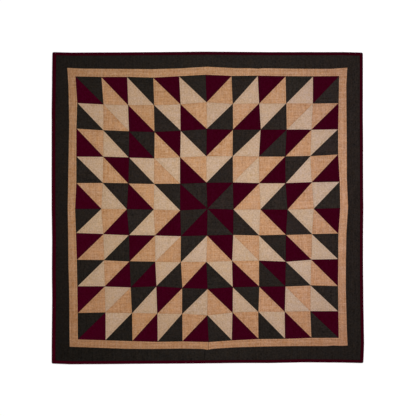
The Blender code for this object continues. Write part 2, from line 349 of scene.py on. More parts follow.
def block_corner(column, row):
    """Where the seams cross, column by column from the left and row by row from the top."""
    x = (column - BLOCKS / 2) * BLOCK_WIDTH
    y = (BLOCKS / 2 - row) * BLOCK_HEIGHT
    turned_x = x * math.cos(FIELD_TURN) - y * math.sin(FIELD_TURN) + FIELD_MIDDLE[0]
    turned_y = x * math.sin(FIELD_TURN) + y * math.cos(FIELD_TURN) + FIELD_MIDDLE[1]
    for pull in (*PULLS, *CORNER_PULLS):
        across = (column - pull.column) / pull.reach_across
        down = (row - pull.row) / pull.reach_down
        share = math.exp(-across * across - down * down)
        turned_x += share * pull.right * MILLIMETRE
        turned_y += share * pull.up * MILLIMETRE
    turned_x += FIELD_SPREAD * MILLIMETRE * ((column == BLOCKS) - (column == 0))
    turned_y += FIELD_SPREAD * MILLIMETRE * ((row == 0) - (row == BLOCKS))
    return turned_x, turned_y


def patch_colours(row, column):
    """The cottons on the clockwise and the other side of a block's seam, in the top left quarter."""
    if row == column:
        return ("charcoal", "burgundy") if row % 2 == 0 else ("tan", "peach")
    far = max(row, column)
    dark_first = (min(row, column) % 2 == 0) == (row < column)
    if dark_first:
        return ("burgundy", "peach") if far % 2 else ("charcoal", "tan")
    return ("tan", "charcoal") if far % 2 else ("peach", "burgundy")


def quarter_place(row, column):
    """Which quarter turn of the top left quarter a block belongs to, and its row and column there."""
    half = BLOCKS // 2
    last = BLOCKS - 1
    if row < half and column < half:
        return 0, row, column
    if row < half:
        return 1, last - column, row
    if column >= half:
        return 2, last - row, last - column
    return 3, column, last - row


def ring_point(half, strays, side, share, corner_radius=0.0):
    """A point of a line round the quilt, at a share of one side from -1 to 1."""
    way = SIDES[side]
    start = -half - getattr(strays, way.start)[way.start_end] * MILLIMETRE
    finish = half + getattr(strays, way.finish)[way.finish_end] * MILLIMETRE
    out = half + np.interp(share, STRAY_SHARES, getattr(strays, side)) * MILLIMETRE
    along = blend(start, finish, (share + 1) / 2)
    if corner_radius:
        mitre_cut = corner_radius * (1 - math.sqrt(0.5))
        along = min(max(along, start + mitre_cut), finish - mitre_cut)
        to_corner = min(along - start, finish - along)
        inside = max(corner_radius - to_corner, 0.0)
        out -= corner_radius - math.sqrt(corner_radius**2 - inside**2)
    return way.along[0] * along + way.out[0] * out, way.along[1] * along + way.out[1] * out


def edge_corner(side, step):
    """The column and row of a block corner on the field's edge, counted along that side."""
    if side in ("top", "bottom"):
        return step, (0 if side == "top" else BLOCKS)
    return (0 if side == "left" else BLOCKS), step


def field_edge(side, share):
    """A point of the seam round the field of blocks, straight from one block corner to the next."""
    place = (share + 1) / 2 * BLOCKS
    first = min(int(place), BLOCKS - 1)
    part = place - first
    start, end = (block_corner(*edge_corner(side, step)) for step in (first, first + 1))
    return blend(start[0], end[0], part), blend(start[1], end[1], part)


def border_seam(side, share):
    x, y = ring_point(BORDER_SEAM_HALF, BORDER_SEAM_STRAYS, side, share)
    bumps = [bump for bump in BORDER_BUMPS if bump.side == side]
    out = sum(bump.out * math.exp(-(((share - bump.share) / bump.reach) ** 2)) for bump in bumps) * MILLIMETRE
    return x + SIDES[side].out[0] * out, y + SIDES[side].out[1] * out


def binding_seam(side, share):
    return ring_point(QUILT_HALF - BINDING_WIDTH, BINDING_SEAM_STRAYS, side, share)


def outline(side, share):
    return ring_point(QUILT_HALF + OUTLINE_SPREAD * MILLIMETRE, OUTLINE_STRAYS, side, share, CORNER_RADIUS)


def smooth_step(values):
    values = np.clip(values, 0.0, 1.0)
    return values * values * (3 - 2 * values)


def noise(x, y, cell, seed):
    """Smooth noise from -1 to 1 over the floor, whose bumps are about a cell across."""
    size = 512
    table = np.random.default_rng(seed).uniform(-1, 1, (size, size))
    across = x / cell + size / 2
    down = y / cell + size / 2
    column = np.floor(across).astype(int)
    row = np.floor(down).astype(int)
    part_x = smooth_step(across - column)
    part_y = smooth_step(down - row)

    def at(step_x, step_y):
        return table[(column + step_x) % size, (row + step_y) % size]

    low = blend(at(0, 0), at(1, 0), part_x)
    high = blend(at(0, 1), at(1, 1), part_x)
    return blend(low, high, part_y)


def waves(table, x, y, level=0.0):
    """The sum of a level and all waves of a table."""
    return sum((wave.height * noise(x, y, wave.cell, wave.seed) for wave in table), level)


def lift(x, y):
    """How far the cloth rises off the floor in the soft ripples of its borders, in metres."""
    outwards = smooth_step((np.maximum(abs(x), abs(y)) - RIPPLES_FROM) / (RIPPLES_FULL - RIPPLES_FROM))
    ripple = waves(RIPPLES, x, y, RIPPLE_LEVEL)
    return RIPPLE_HEIGHT * outwards * np.clip(ripple, 0.0, RIPPLE_LIMIT)


def relief_at(insets):
    """The height and the shares of crinkle and loft, at these distances inside a seam, in millimetres."""
    places = [relief.inset for relief in RELIEF]
    fields = ("height", "crinkle", "loft")
    return [np.interp(insets, places, [getattr(relief, field) for relief in RELIEF]) for field in fields]


def groove(distances):
    """How strongly a line of quilting draws the cloth down, at these distances from its seam."""
    away = distances - STITCH_INSET
    reach = np.where(away < 0, GROOVE_REACH_OUT, GROOVE_REACH_IN)
    return np.exp(-((away / reach) ** 2))


def cloth_height(x, y, height, crinkled=1.0, puff=0.0, pull=0.0):
    """The cloth's height in metres, from its relief, its creases and puff, and the quilting's pull."""
    creases = crinkled * waves(CREASES, x, y) + puff
    drawn_down = blend(height, np.minimum(height, STITCH_HEIGHT), pull)
    height = drawn_down + blend(1.0, STITCH_CREASES, pull) * creases
    return height * MILLIMETRE + lift(x, y)


# Shade is a factor on the colour at each point: the piece's own tone, with painted light and shade across the
# quilt and painted shadows beside seams and joins. Ditch sets how deep a seam's ditch lies and how much
# painted shade the colour gets there.
Surface = namedtuple("Surface", "points faces cloth quilting shade ditch")


def joined(surfaces):
    """Several surfaces as one, with the faces of each pointing at its own points."""
    firsts = np.cumsum([0] + [len(one.points) for one in surfaces[:-1]])
    faces = [face + first for one, first in zip(surfaces, firsts) for face in one.faces]
    points, *rest = [
        np.concatenate([getattr(one, field) for one in surfaces])
        for field in ("points", "cloth", "quilting", "shade", "ditch")
    ]
    return Surface(points, faces, *rest)


def plain_surface(points, faces, cloth):
    """A surface of one even cloth, away from all quilting."""
    quilting = np.full((faces.size, 2), FAR)
    return Surface(points, faces.tolist(), cloth, quilting, np.ones((len(points), 3)), np.zeros(len(points)))


def quads_between(rows, columns, closed):
    """Faces between neighbouring rows of points, and the place in (row, column) of each face's corners."""
    row, column = np.meshgrid(np.arange(rows - 1), np.arange(columns), indexing="ij")
    turns = ((0, 0), (0, 1), (1, 1), (1, 0))
    places = np.stack([np.stack([row + down, column + on], -1) for down, on in turns], 2).reshape(-1, 4, 2)
    width = columns if closed else columns + 1
    faces = places[..., 0] * width + places[..., 1] % width
    return faces, places


Patch = namedtuple("Patch", "cotton places diagonal")
Seam = namedtuple("Seam", "start inwards stitched line count")


def lay_out_patches():
    """Every patch of the field, with the block corners that it spans, anticlockwise."""
    patches = []
    for row in range(BLOCKS):
        for column in range(BLOCKS):
            ring = [(column, row), (column + 1, row), (column + 1, row + 1), (column, row + 1)]
            turn, own_row, own_column = quarter_place(row, column)
            start = ring[turn:] + ring[:turn]
            first, second = patch_colours(own_row, own_column)
            diagonal = {start[0], start[2]}
            patches.append(Patch(first, (start[2], start[1], start[0]), diagonal))
            patches.append(Patch(second, (start[3], start[2], start[0]), diagonal))
    return patches


def quilted_seams(patches):
    """The seams that quilting runs beside, as pairs of block corners: those between a light and a dark
    cotton. Round the field lies the inner border, which is light."""
    neighbours = defaultdict(list)
    for patch in patches:
        for start, end in zip(patch.places, patch.places[1:] + patch.places[:1]):
            neighbours[frozenset((start, end))].append(patch.cotton in LIGHT_COTTONS)
    for light in neighbours.values():
        if len(light) == 1:
            light.append(True)
    return {seam for seam, light in neighbours.items() if light[0] != light[1]}


def patch_seams(corners, stitched):
    """The three seams of a patch, with the line of quilting inside each. A line ends at the next line of
    quilting, or at the seam beyond where that seam has none."""
    alongs = np.roll(corners, -1, axis=0) - corners
    alongs /= np.linalg.norm(alongs, axis=1, keepdims=True)
    inwards = np.column_stack([-alongs[:, 1], alongs[:, 0]])
    seams = []
    for index in range(3):
        line = []
        for other in ((index + 2) % 3, (index + 1) % 3):
            insets = np.array([STITCH_INSET, STITCH_INSET if stitched[other] else LINE_STOP]) * MILLIMETRE
            sides = [index, other]
            offsets = (inwards[sides] * corners[sides]).sum(axis=1) + insets
            line.append(np.linalg.solve(inwards[sides], offsets))
        count = round(np.linalg.norm(line[1] - line[0]) / STITCH_PITCH)
        seams.append(Seam(corners[index], inwards[index], stitched[index], line, count))
    return seams


def patch_pull(distances, stitched):
    """How strongly the quilting draws a patch down, from the distances to its seams in millimetres. A line
    of quilting stops at the next one, and goes on over a seam that has none."""
    pull = np.zeros(distances.shape[1])
    for index in range(3):
        own = groove(distances[index]) * (1.0 if stitched[index] else ALLOWANCE_DIP)
        for other in range(3):
            if other != index and stitched[other]:
                own = own * smooth_step((distances[other] - LINE_FADE) / (STITCH_INSET - LINE_FADE))
        pull = np.maximum(pull, own)
    return pull


def patch_ditch(distances, stitched):
    """How deep a patch lies in the dip of an unquilted seam, from 0 to 1, which also sets how much painted
    shade its colour gets there. Quilted seams have no such dip.
    """
    stitched = np.array(stitched)[:, None]
    plain = np.where(stitched, FAR, distances).min(axis=0)
    quilted = np.where(stitched, distances, FAR).min(axis=0)
    return np.exp(-((plain / DITCH_REACH) ** 2)) * smooth_step(quilted / DITCH_FADE)


def seam_shadow(distances, stitched):
    """How bright a light patch is beside its seams with dark ones, against the rest of it."""
    nearest = np.where(np.array(stitched)[:, None], distances, FAR).min(axis=0)
    return 1 - SEAM_SHADOW * np.exp(-((nearest / SEAM_SHADOW_REACH) ** 2))


def inside_quilting(points, seam):
    """How far points lie inside a seam's line of quilting, in millimetres."""
    return (points - seam.start) @ seam.inwards / MILLIMETRE - STITCH_INSET


def patch_quilting(faces, seams):
    """For each corner of each face, how far it lies along the nearest line of quilting, in stitches, and how
    far inside that line, in millimetres."""
    places = np.zeros((*faces.shape[:2], 2)) + (0.0, FAR)
    quilted = [seam for seam in seams if seam.stitched]
    away = [abs(inside_quilting(faces.mean(axis=1), seam)) for seam in quilted]
    for index, seam in enumerate(quilted):
        own = np.argmin(away, axis=0) == index
        line = seam.line[1] - seam.line[0]
        places[own, :, 0] = (faces[own] - seam.line[0]) @ line / (line @ line) * seam.count
        places[own, :, 1] = inside_quilting(faces[own], seam)
    return places.reshape(-1, 2)


def crowded_shares(steps):
    """Shares from 0 to 1 along a seam, closer together at its ends."""
    even = np.arange(steps + 1) / steps
    return even - CROWDING * np.sin(2 * math.pi * even) / (2 * math.pi)


def painted_light_factor(cotton, x, y):
    """Painted light and shade, the slow change in a cotton's brightness over the quilt, for each part of its
    colour.
    """
    terms = np.column_stack([x, y, x * x, y * y])
    return np.exp(terms @ np.array(cotton.drift).T)


def patch_surface(patch, quilted, number):
    """A patch as rings inside one another, from its seams to its crown, and its seams."""
    corners = np.array([block_corner(*place) for place in patch.places])
    ends = [(index, (index + 1) % 3) for index in range(3)]
    pairs = [frozenset((patch.places[start], patch.places[end])) for start, end in ends]
    stitched = [pair in quilted for pair in pairs]
    seams = patch_seams(corners, stitched)
    opposite = np.linalg.norm(np.roll(corners, -1, axis=0) - np.roll(corners, -2, axis=0), axis=1)
    middle = opposite @ corners / opposite.sum()
    inner_radius = (middle - seams[0].start) @ seams[0].inwards
    rim = []
    for (start, end), pair in zip(ends, pairs):
        shares = crowded_shares(DIAGONAL_STEPS if pair == patch.diagonal else LEG_STEPS)
        rim.append(blend(corners[start], corners[end], shares[:-1, None]))
    rim = np.concatenate(rim)
    columns = len(rim)
    shrink = np.array([relief.inset for relief in RINGS]) * MILLIMETRE / inner_radius
    flat = np.concatenate([blend(rim, middle, shrink[:, None, None]).reshape(-1, 2), [middle]])

    distances = np.array([(flat - seam.start) @ seam.inwards for seam in seams]) / MILLIMETRE
    height, crinkled, lofted = relief_at(distances.min(axis=0))
    # How deep the patch lies in the ditch of its unquilted seams: this sets both the dip of the cloth and the
    # painted shade in its colour there
    ditch = patch_ditch(distances, stitched)
    height = height - DITCH_DEPTH * ditch
    puff = lofted * random.uniform(-LOFT_RANGE, LOFT_RANGE)
    pull = patch_pull(distances, stitched)
    points = np.column_stack([flat, cloth_height(*flat.T, height, crinkled, puff, pull)])

    rings = quads_between(len(RINGS), columns, closed=True)[0]
    crown = len(points) - 1
    steps = np.arange(columns)
    last_ring = crown - columns
    fan = np.column_stack([last_ring + steps, last_ring + (steps + 1) % columns, np.full(columns, crown)])
    quilting = np.concatenate([patch_quilting(flat[faces], seams) for faces in (rings, fan)])

    square_corner = next(index for index in range(3) if patch.places[index] not in patch.diagonal)
    grain = corners[(square_corner + 1) % 3] - corners[square_corner]
    grain = grain / np.linalg.norm(grain)
    if random.uniform() < 0.5:
        grain = np.array([-grain[1], grain[0]])
    across = np.array([-grain[1], grain[0]])
    cloth = np.column_stack([flat @ grain, flat @ across, np.full(len(flat), CLOTH_STEP * number)])
    cotton = COTTONS[patch.cotton]
    lot = random.normal() * np.array(cotton.lot) + random.normal() * np.array(cotton.lot_hue)
    # Painted light and shade across the quilt, times the piece's own random tone
    shade = painted_light_factor(cotton, flat[:, 0], flat[:, 1]) * np.exp(lot)
    # A light cotton gets a painted shadow beside its seams with dark ones
    if patch.cotton in LIGHT_COTTONS:
        shade *= seam_shadow(distances, stitched)[:, None]
    return Surface(points, [*rings.tolist(), *fan.tolist()], cloth, quilting, shade, ditch), seams


def make_patches():
    """The patches of each cotton as one surface, and the stitches inside their seams."""
    patches = lay_out_patches()
    quilted = quilted_seams(patches)
    by_cotton = defaultdict(list)
    stitches = []
    for number, patch in enumerate(patches):
        surface, seams = patch_surface(patch, quilted, number)
        by_cotton[patch.cotton].append(surface)
        for seam in seams:
            if seam.stitched:
                shares = (np.arange(seam.count)[:, None] + 0.5) / seam.count
                line = seam.line[1] - seam.line[0]
                ways = np.repeat([line / np.linalg.norm(line)], seam.count, axis=0)
                stitches.append((blend(*seam.line, shares), ways))
    return {cotton: joined(surfaces) for cotton, surfaces in by_cotton.items()}, stitches


def strip_shares(join=NO_JOIN):
    """Places along a strip: those of the patches' seams, and a few close to each mitre and to a join."""
    blocks = np.arange(BLOCKS)[:, None]
    even = np.append(((blocks + crowded_shares(LEG_STEPS)[:-1]) / BLOCKS).ravel(), 1.0)
    mitres = [sign * share for sign in (-1, 1) for share in MITRE_SHARES]
    joins = join + np.array(JOIN_STEPS) * MILLIMETRE / QUILT_HALF if join != NO_JOIN else []
    return np.unique(np.concatenate([2 * even - 1, mitres, joins]))


def corner(side, neighbour):
    """The name of the corner where two sides meet."""
    return f"{side}_{neighbour}" if side in ("top", "bottom") else f"{neighbour}_{side}"


def join_mark(join, shares, half, reach):
    """How strongly a strip's join shows, at shares of a side that is twice this half long."""
    return np.exp(-(((join - shares) * half / MILLIMETRE / reach) ** 2))


# A ring of four strips between two lines round the quilt. Stitched names the lines that quilting runs beside.
Ring = namedtuple("Ring", "kind colour cotton inner_line outer_line section stitched")


def strip_lines(ring, side, shares):
    """The inner and the outer line of a strip, and its width, at these shares of the side."""
    inner = np.array([ring.inner_line(side, share) for share in shares])
    outer = np.array([ring.outer_line(side, share) for share in shares])
    return inner, outer, (outer - inner) @ np.array(SIDES[side].out)


def strip_surface(ring, side, cotton, number):
    """A mitred strip on one side of the quilt."""
    way = SIDES[side]
    out = np.array(way.out)
    along = np.array(way.along)
    node = f"{ring.kind}_{side}"
    join = JOINS.get(node, NO_JOIN)
    shares = strip_shares(join)
    inner, outer, width = strip_lines(ring, side, shares)
    rows = []
    insets = []
    for station in ring.section:
        distance = station.distance * MILLIMETRE
        parts = {"inner": distance / width, "middle": np.full(len(width), 0.5), "outer": 1 - distance / width}
        part = parts[station.line]
        place = blend(inner, outer, part[:, None])
        to_lines = {"inner": part * width / MILLIMETRE, "outer": (1 - part) * width / MILLIMETRE}
        nearest = np.min([to_lines[line] for line in ring.stitched] or [np.full(len(width), FAR)], axis=0)
        to_mitre = (1 - abs(shares)) * abs(place @ out) * math.sqrt(0.5) / MILLIMETRE
        mitre = np.exp(-((to_mitre / MITRE_REACH) ** 2)) * min(station.height / MITRES_FULL, 1.0)
        crease = MITRE_DEPTH * mitre + JOIN_DEPTH * join_mark(join, shares, abs(place @ out), JOIN_REACH)
        crinkled = min(station.height / CREASES_FULL, 1.0)
        height = cloth_height(*place.T, station.height - crease, crinkled, pull=groove(nearest))
        rows.append(np.column_stack([place, height]))
        insets.append(nearest - STITCH_INSET)
    faces, places = quads_between(len(ring.section), len(shares) - 1, closed=False)
    if along[0] * out[1] - along[1] * out[0] < 0:
        faces = faces[:, ::-1]
        places = places[:, ::-1]
    points = np.concatenate(rows)
    phase = points[faces.ravel(), :2] @ along / STITCH_PITCH
    quilting = np.column_stack([phase, np.array(insets)[places[..., 0].ravel(), places[..., 1].ravel()]])
    flat = points[:, :2]
    grain, across = (along, out) if node in LENGTHWISE else (out, along)
    steps = np.tile(np.where(shares > join, JOIN_CLOTH_STEP, 0.0), len(ring.section))
    cloth = np.column_stack([flat @ grain, flat @ across, CLOTH_STEP * (number + steps)])
    stops = (corner(side, way.start), side, corner(side, way.finish))
    own_shade = np.interp(shares, (-1, 0, 1), [getattr(RING_SHADES[ring.kind], stop) for stop in stops])
    # A painted shadow along the join of the strip's two lengths
    own_shade *= 1 - JOIN_SHADOW * join_mark(join, shares, QUILT_HALF, JOIN_SHADOW_REACH)
    # Painted light and shade across the quilt, times the ring's own shades
    shade = painted_light_factor(cotton, flat[:, 0], flat[:, 1]) * np.tile(own_shade, len(ring.section))[:, None]
    return Surface(points, faces.tolist(), cloth, quilting, shade, np.zeros(len(points)))


def strip_stitches(ring, side, line):
    """Where the stitches beside one line of a strip are, and which way they point."""
    out = np.array(SIDES[side].out)
    along = np.array(SIDES[side].along)
    inner, outer, width = strip_lines(ring, side, strip_shares())
    part = STITCH_INSET * MILLIMETRE / width
    track = blend(inner, outer, (part if line == "inner" else 1 - part)[:, None])
    first, last = track[[0, -1]] @ along / STITCH_PITCH
    centres = (np.arange(math.ceil(first), math.floor(last)) + 0.5) * STITCH_PITCH
    outs = np.interp(centres, track @ along, track @ out)
    places = centres[:, None] * along + outs[:, None] * out
    ways = np.gradient(places, axis=0)
    return places, ways / np.linalg.norm(ways, axis=1, keepdims=True)


def stitch_surface(stitches):
    """Running stitches, from where each is and which way it points."""
    places, ways = (np.concatenate(parts) for parts in zip(*stitches))
    total = len(places)
    turn = random.normal(0, STITCH_TURN, total)[:, None]
    across = np.column_stack([-ways[:, 1], ways[:, 0]])
    ways = ways * np.cos(turn) + across * np.sin(turn)
    across = np.column_stack([-ways[:, 1], ways[:, 0]])
    places = places + across * random.normal(0, STITCH_STRAY, total)[:, None]
    lengths = STITCH_LENGTH * random.uniform(*STITCH_LENGTH_SHARES, total)
    points = np.empty((total, len(STITCH_BEADS), len(BEAD_SECTION), 3))
    for row, bead in enumerate(STITCH_BEADS):
        line = places + ways * (bead.along * lengths)[:, None]
        base = cloth_height(*line.T, STITCH_HEIGHT, pull=1.0) + bead.height * MILLIMETRE
        for column, (side, rise) in enumerate(BEAD_SECTION):
            points[:, row, column, :2] = line + across * side * bead.width * STITCH_WIDTH
            points[:, row, column, 2] = base + rise * STITCH_RISE
    faces = quads_between(len(STITCH_BEADS), len(BEAD_SECTION) - 1, closed=False)[0][:, ::-1]
    each = len(STITCH_BEADS) * len(BEAD_SECTION)
    faces = (faces + np.arange(total)[:, None, None] * each).reshape(-1, 4)
    points = points.reshape(-1, 3)
    cloth = np.column_stack([points[:, :2], np.repeat(np.arange(total) * CLOTH_STEP, each)])
    return plain_surface(points, faces, cloth)


def backing_surface():
    """The plain cloth of the underside, from one edge of the quilt to the other, inside the binding."""
    line = np.linspace(-BACKING_HALF, BACKING_HALF, BACKING_STEPS + 1)
    y, x = np.meshgrid(line, line, indexing="ij")
    x, y = x.ravel(), y.ravel()
    points = np.column_stack([x, y, BACKING_HEIGHT + lift(x, y)])
    faces = quads_between(BACKING_STEPS + 1, BACKING_STEPS, closed=False)[0][:, ::-1]
    return plain_surface(points, faces, np.column_stack([x, y, np.zeros(len(x))]))


def add_piece(name, surface, material, replaced=()):
    """A mesh of the quilt, with what its cloth needs to know at each point or face corner."""
    mesh = bpy.data.meshes.new(name)
    mesh.from_pydata(surface.points.tolist(), [], surface.faces)
    quilting = np.column_stack([surface.quilting, np.zeros(len(surface.quilting))])
    mesh.attributes.new("quilting", "FLOAT_VECTOR", "CORNER").data.foreach_set("vector", quilting.ravel())
    mesh.attributes.new("cloth", "FLOAT_VECTOR", "POINT").data.foreach_set("vector", surface.cloth.ravel())
    mesh.attributes.new("shade", "FLOAT_VECTOR", "POINT").data.foreach_set("vector", surface.shade.ravel())
    mesh.attributes.new("ditch", "FLOAT", "POINT").data.foreach_set("value", surface.ditch)
    mesh.shade_smooth()
    mesh.materials.append(material)
    piece = bpy.data.objects.new(name, mesh)
    bpy.context.scene.collection.objects.link(piece)
    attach(piece, "root")
    if replaced:
        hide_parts(*replaced)
    return piece


class Nodes:
    """A node tree, with short ways to add a node and to join it to others."""

    def __init__(self, tree):
        self.tree = tree

    def give(self, node, inputs):
        """Give a node's inputs, by name or number, a value or the output of another node."""
        for key, value in inputs.items():
            if isinstance(value, bpy.types.NodeSocket):
                self.tree.links.new(value, node.inputs[key])
            else:
                node.inputs[key].default_value = value

    def add(self, kind, settings, inputs):
        made = self.tree.nodes.new(kind)
        for key, value in settings.items():
            setattr(made, key, value)
        self.give(made, inputs)
        return made

    def of(self, operation, *values):
        return self.add("ShaderNodeMath", {"operation": operation}, dict(enumerate(values))).outputs[0]

    def times(self, first, second):
        return self.of("MULTIPLY", first, second)

    def sum(self, *values):
        total = values[0]
        for value in values[1:]:
            total = self.of("ADD", total, value)
        return total

    def vector(self, operation, first, second):
        return self.add("ShaderNodeVectorMath", {"operation": operation}, {0: first, 1: second}).outputs[0]

    def parts(self, vector):
        return self.add("ShaderNodeSeparateXYZ", {}, {0: vector}).outputs

    def place(self, kind):
        return self.add("ShaderNodeTexCoord", {}, {}).outputs[kind]

    def attribute(self, name, kind="Vector"):
        return self.add("ShaderNodeAttribute", {"attribute_name": name}, {}).outputs[kind]

    def mix(self, share, first, second):
        """The colour at this share of the way from the first to the second."""
        inputs = {"Factor": share, 6: (*first, 1.0), 7: (*second, 1.0)}
        return self.add("ShaderNodeMix", {"data_type": "RGBA", "clamp_factor": False}, inputs).outputs[2]

    def bump(self, height):
        return self.add("ShaderNodeBump", {}, {"Strength": 1.0, "Distance": 1.0, "Height": height}).outputs[0]

    def stretched_noise(self, vector, along, across, detail=2.0):
        """Noise from -0.5 to 0.5 whose marks are this long along the thread and this wide across it."""
        mapped = self.vector("MULTIPLY", vector, (1 / along, 1 / across, 1.0))
        made = self.add("ShaderNodeTexNoise", {}, {"Vector": mapped, "Scale": 1.0, "Detail": detail})
        return self.sum(made.outputs["Fac"], -0.5)

    def both_ways(self, vector, size):
        """The sum of such noise along the cloth's grain and across it."""
        lengthwise = self.stretched_noise(vector, *size, 1.0)
        return self.sum(lengthwise, self.stretched_noise(vector, *reversed(size), 1.0))


# The cottons. Tone is the mean colour, spread how far its three parts vary in shade, and hue how far they do
# in hue. Slub is how strongly long slubs along the grain, and those across it, make the shade vary, grain how
# strongly short ones both ways do, and fleck and cloud the fine flecks and the soft clouds. The ditch field
# is how strongly painted shade darkens the colour in the ditch of a seam. Lot and lot_hue are how far one
# piece of the cloth differs from the next, the drift field is painted light and shade that makes the colour
# lighter or darker across the quilt, and weave is the depth of its threads in metres.
Cotton = namedtuple(
    "Cotton",
    "tone spread hue slub grain fleck cloud ditch lot lot_hue drift"
    " specular gloss_tint sheen sheen_tint weave",
)
# Painted light and shade: the change in a colour's brightness per metre to the right and up, and per square
# metre both ways
Drift = namedtuple("Drift", "right up across down")
NO_PAINTED_LIGHT_DRIFT = Drift(0.0, 0.0, 0.0, 0.0)
COTTONS = {
    "charcoal": Cotton(
        tone=(0.0204, 0.0150, 0.0124),
        spread=(0.28, 0.28, 0.28),
        hue=(0.10, 0.0, -0.14),
        slub=(1.5, 0.5),
        grain=2.7,
        fleck=0.8,
        cloud=0.5,
        ditch=0.0,
        lot=(0.045, 0.045, 0.050),
        lot_hue=(0.018, -0.012, 0.0),
        drift=(
            Drift(0.32, 0.16, 0.04, -0.42),
            Drift(0.27, 0.13, 0.02, -0.26),
            Drift(0.34, 0.14, 0.04, -0.29),
        ),
        specular=0.06,
        gloss_tint=(1.0, 0.85, 0.75),
        sheen=0.03,
        sheen_tint=(0.5, 0.42, 0.36),
        weave=0.00005,
    ),
    "burgundy": Cotton(
        tone=(0.0369, 0.0004, 0.0063),
        spread=(0.16, 0.80, 0.30),
        hue=(0.04, 0.9, 0.20),
        slub=(0.1, 0.1),
        grain=2.1,
        fleck=0.8,
        cloud=0.1,
        ditch=0.0,
        lot=(0.006, 0.0, 0.014),
        lot_hue=(0.0, 0.0, 0.008),
        drift=(Drift(-0.17, -0.10, 0.55, 0.52),) * 3,
        specular=0.03,
        gloss_tint=(1.0, 0.0, 0.2),
        sheen=0.03,
        sheen_tint=(0.6, 0.0, 0.1),
        weave=0.00005,
    ),
    "peach": Cotton(
        tone=(0.5040, 0.2740, 0.1437),
        spread=(0.104, 0.144, 0.200),
        hue=(0.05, -0.02, -0.16),
        slub=(1.9, 1.9),
        grain=2.7,
        fleck=0.9,
        cloud=0.5,
        ditch=0.19,
        lot=(0.018, 0.022, 0.028),
        lot_hue=(-0.003, 0.0, 0.016),
        drift=(NO_PAINTED_LIGHT_DRIFT, Drift(0.0, 0.05, -0.10, -0.10), Drift(0.13, 0.07, 0.0, -0.13)),
        specular=0.10,
        gloss_tint=(1.0, 0.8, 0.6),
        sheen=0.05,
        sheen_tint=(1.0, 0.70, 0.50),
        weave=0.00007,
    ),
    "tan": Cotton(
        tone=(0.5285, 0.3645, 0.2446),
        spread=(0.092, 0.108, 0.146),
        hue=(0.04, 0.0, -0.10),
        slub=(0.7, 0.7),
        grain=3.1,
        fleck=0.9,
        cloud=0.3,
        ditch=0.19,
        lot=(0.016, 0.020, 0.030),
        lot_hue=(-0.003, 0.0, 0.016),
        drift=(NO_PAINTED_LIGHT_DRIFT, Drift(0.03, 0.0, 0.0, -0.14), Drift(0.15, 0.01, 0.05, -0.18)),
        specular=0.10,
        gloss_tint=(1.0, 0.85, 0.7),
        sheen=0.05,
        sheen_tint=(1.0, 0.80, 0.65),
        weave=0.00007,
    ),
}
BINDING_COTTON = COTTONS["burgundy"]._replace(tone=(0.0382, 0.0003, 0.0048), drift=(NO_PAINTED_LIGHT_DRIFT,) * 3)

# The length and width of each kind of mark in the cottons, and the relief of their weave, in metres. The
# reach of the puckers is in millimetres, and the shift leads to another part of the noise.
SLUB = (0.075, 0.0040)
GRAIN = (0.0085, 0.0024)
FLECK = (0.014, 0.0009)
CLOUD = (0.033, 0.033)
HUE_STREAK = (0.030, 0.0085)
HUE_SHIFT = (3.1, 5.3, 7.7)
THREAD_SPACING = 0.0009
FLECK_DEPTH = 0.00012
PUCKER_DEPTH = 0.00022
PUCKER_REACH = 3.6
ROUGHNESS = 0.87
ROUGHNESS_SPREAD = 0.12
SHEEN_ROUGHNESS = 0.5

# The quilting thread
THREAD_TONES = ((0.020, 0.014, 0.010), (0.038, 0.027, 0.020))
THREAD_CLOUD = (0.004, 0.004)
THREAD_PLY = (0.0006, 0.0006)
THREAD_PLY_DEPTH = 0.00005
THREAD_ROUGHNESS = 0.7
THREAD_ROUGHNESS_SPREAD = 0.2
THREAD_SPECULAR = 0.2


def new_material(name):
    """A material, its nodes and its shader."""
    material = bpy.data.materials.new(name)
    material.use_nodes = True
    return material, Nodes(material.node_tree), material.node_tree.nodes["Principled BSDF"]


